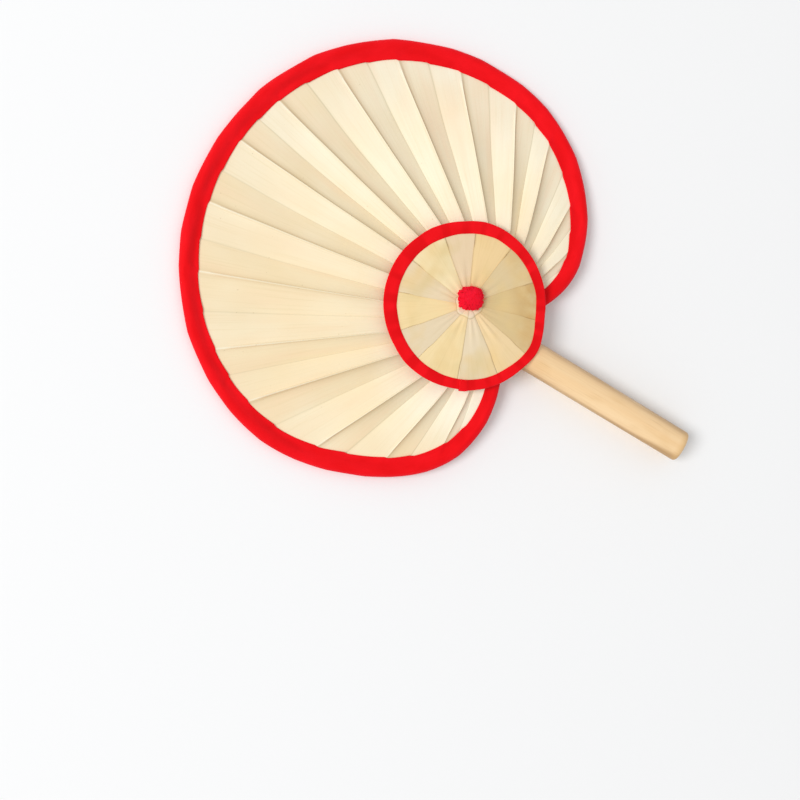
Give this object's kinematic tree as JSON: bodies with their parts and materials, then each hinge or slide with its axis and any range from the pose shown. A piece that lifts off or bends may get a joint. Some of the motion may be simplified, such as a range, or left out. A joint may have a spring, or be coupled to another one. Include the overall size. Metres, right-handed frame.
{
  "type": "palm leaf hand fan",
  "caption": "Hand fan of a pleated palm leaf bound in red cloth tape over a cane hoop, with a bound leaf rosette and yarn tuft at the hub and a round wooden handle.",
  "frame": {"origin": "centre of the bounding box in plan, at the floor under the rim", "axes": "+Y from the handle to the far rim, +Z out of the fan's face, +X to the right seen from the face with the handle down"},
  "size_m": [0.2899, 0.3659, 0.0287],
  "materials": {
    "leaf": "dry pleated leaf, cream with fine grain",
    "rosette_leaf": "dry flat leaf, tan to yellow, tone differs from wedge to wedge",
    "cloth": "plain woven cotton tape, matt",
    "yarn": "fuzzy yarn",
    "handle_wood": "bare sanded wood",
    "cane": "bare cane"
  },
  "bodies": {
    "root": {"leaf_blade": "leaf", "rim_hoop": "cane", "rim_binding": "cloth", "handle": "handle_wood", "front_rosette_wedge_01": "rosette_leaf", "front_rosette_wedge_02": "rosette_leaf", "front_rosette_wedge_03": "rosette_leaf", "front_rosette_wedge_04": "rosette_leaf", "front_rosette_wedge_05": "rosette_leaf", "front_rosette_wedge_06": "rosette_leaf", "front_rosette_wedge_07": "rosette_leaf", "front_rosette_wedge_08": "rosette_leaf", "front_rosette_wedge_09": "rosette_leaf", "front_rosette_wedge_10": "rosette_leaf", "front_rosette_wedge_11": "rosette_leaf", "front_rosette_wedge_12": "rosette_leaf", "front_rosette_binding": "cloth", "back_rosette_wedge_01": "rosette_leaf", "back_rosette_wedge_02": "rosette_leaf", "back_rosette_wedge_03": "rosette_leaf", "back_rosette_wedge_04": "rosette_leaf", "back_rosette_wedge_05": "rosette_leaf", "back_rosette_wedge_06": "rosette_leaf", "back_rosette_wedge_07": "rosette_leaf", "back_rosette_wedge_08": "rosette_leaf", "back_rosette_wedge_09": "rosette_leaf", "back_rosette_wedge_10": "rosette_leaf", "back_rosette_wedge_11": "rosette_leaf", "back_rosette_wedge_12": "rosette_leaf", "back_rosette_binding": "cloth", "front_yarn_tuft": "yarn", "back_yarn_knot": "yarn", "tie_yarn": "yarn"}
  },
  "joints": []
}
